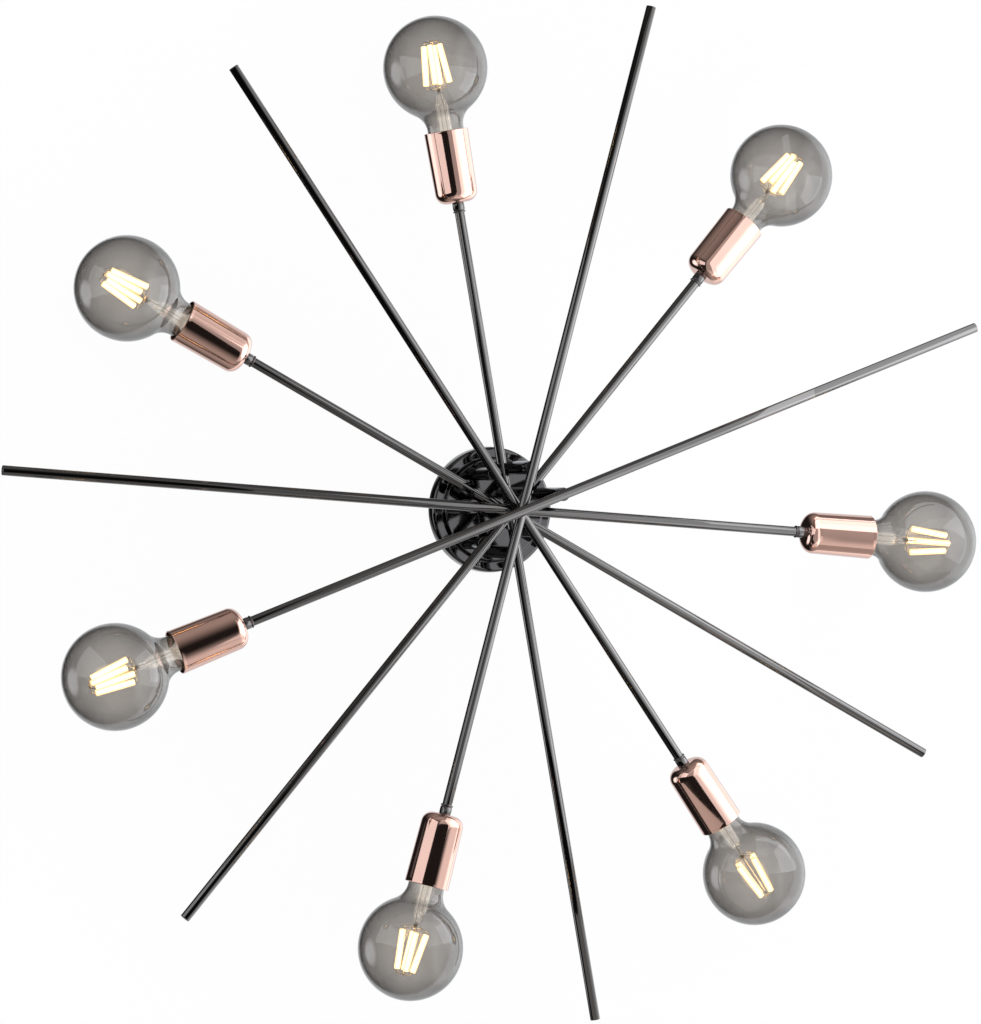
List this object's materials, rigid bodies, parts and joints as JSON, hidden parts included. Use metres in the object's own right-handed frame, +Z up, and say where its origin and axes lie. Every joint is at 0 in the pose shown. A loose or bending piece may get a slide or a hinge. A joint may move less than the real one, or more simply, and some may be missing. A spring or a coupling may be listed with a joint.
{
  "type": "ceiling light",
  "caption": "Ceiling light with straight tubular arms crossed like spiral stairs under a round canopy, each ending in a cup holder with a large round filament bulb.",
  "frame": {"origin": "middle of the ceiling bracket's upper face, on the axis that the arms cross, in the ceiling's plane", "axes": "+Z points up into the ceiling and the light hangs below it; +X lies in the ceiling's plane towards the right of the pictured view, and the view looks roughly along +Z and +X from below"},
  "size_m": [0.9303, 0.932, 0.1541],
  "materials": {
    "black_chrome": "polished black chrome",
    "black_mirror": "mirror black",
    "rose_copper": "polished rose copper plate",
    "black_phenolic": "moulded phenolic",
    "smoked_glass": "clear smoked glass",
    "cap_metal": "rolled screw shell",
    "lit_filament": "glowing coated filament",
    "zinc_steel": "zinc plated",
    "brass_plain": "turned brass",
    "white_plastic": "moulded",
    "lead_sheath": "matt sheath"
  },
  "bodies": {
    "light": {"canopy": "black_mirror", "mounting_bracket": "zinc_steel", "terminal_block": "white_plastic", "earth_screw": "brass_plain", "canopy_screws": "black_mirror", "rod_posts": "black_mirror", "post_pipes": "zinc_steel", "post_nuts": "brass_plain", "rod_end_plugs": "black_mirror", "holder_collars": "black_chrome", "socket_contacts": "brass_plain", "rod_leads": "lead_sheath", "rod_1": "black_chrome", "holder_cup_1": "rose_copper", "lamp_socket_1": "black_phenolic", "rod_2": "black_chrome", "holder_cup_2": "rose_copper", "lamp_socket_2": "black_phenolic", "rod_3": "black_chrome", "holder_cup_3": "rose_copper", "lamp_socket_3": "black_phenolic", "rod_4": "black_chrome", "holder_cup_4": "rose_copper", "lamp_socket_4": "black_phenolic", "rod_5": "black_chrome", "holder_cup_5": "rose_copper", "lamp_socket_5": "black_phenolic", "rod_6": "black_chrome", "holder_cup_6": "rose_copper", "lamp_socket_6": "black_phenolic", "rod_7": "black_chrome", "holder_cup_7": "rose_copper", "lamp_socket_7": "black_phenolic"},
    "bulb_1": {"bulb_globe_1": "smoked_glass", "bulb_cap_1": "cap_metal", "bulb_filaments_1": "lit_filament"},
    "bulb_2": {"bulb_globe_2": "smoked_glass", "bulb_cap_2": "cap_metal", "bulb_filaments_2": "lit_filament"},
    "bulb_3": {"bulb_globe_3": "smoked_glass", "bulb_cap_3": "cap_metal", "bulb_filaments_3": "lit_filament"},
    "bulb_4": {"bulb_globe_4": "smoked_glass", "bulb_cap_4": "cap_metal", "bulb_filaments_4": "lit_filament"},
    "bulb_5": {"bulb_globe_5": "smoked_glass", "bulb_cap_5": "cap_metal", "bulb_filaments_5": "lit_filament"},
    "bulb_6": {"bulb_globe_6": "smoked_glass", "bulb_cap_6": "cap_metal", "bulb_filaments_6": "lit_filament"},
    "bulb_7": {"bulb_globe_7": "smoked_glass", "bulb_cap_7": "cap_metal", "bulb_filaments_7": "lit_filament"}
  },
  "joints": [
    {"name": "bulb_1_draw_out", "type": "slide", "parent": "light", "child": "bulb_1", "axis": [-0.8746, -0.4848, 0], "range_m": [0, 0.03]},
    {"name": "bulb_2_draw_out", "type": "slide", "parent": "light", "child": "bulb_2", "axis": [-0.1749, -0.9846, 0], "range_m": [0, 0.03]},
    {"name": "bulb_3_draw_out", "type": "slide", "parent": "light", "child": "bulb_3", "axis": [0.6476, -0.762, 0], "range_m": [0, 0.03]},
    {"name": "bulb_4_draw_out", "type": "slide", "parent": "light", "child": "bulb_4", "axis": [0.9972, 0.0747, 0], "range_m": [0, 0.03]},
    {"name": "bulb_5_draw_out", "type": "slide", "parent": "light", "child": "bulb_5", "axis": [0.5633, 0.8262, 0], "range_m": [0, 0.03]},
    {"name": "bulb_6_draw_out", "type": "slide", "parent": "light", "child": "bulb_6", "axis": [-0.2612, 0.9653, 0], "range_m": [0, 0.03]},
    {"name": "bulb_7_draw_out", "type": "slide", "parent": "light", "child": "bulb_7", "axis": [-0.934, 0.3572, 0], "range_m": [0, 0.03]}
  ]
}
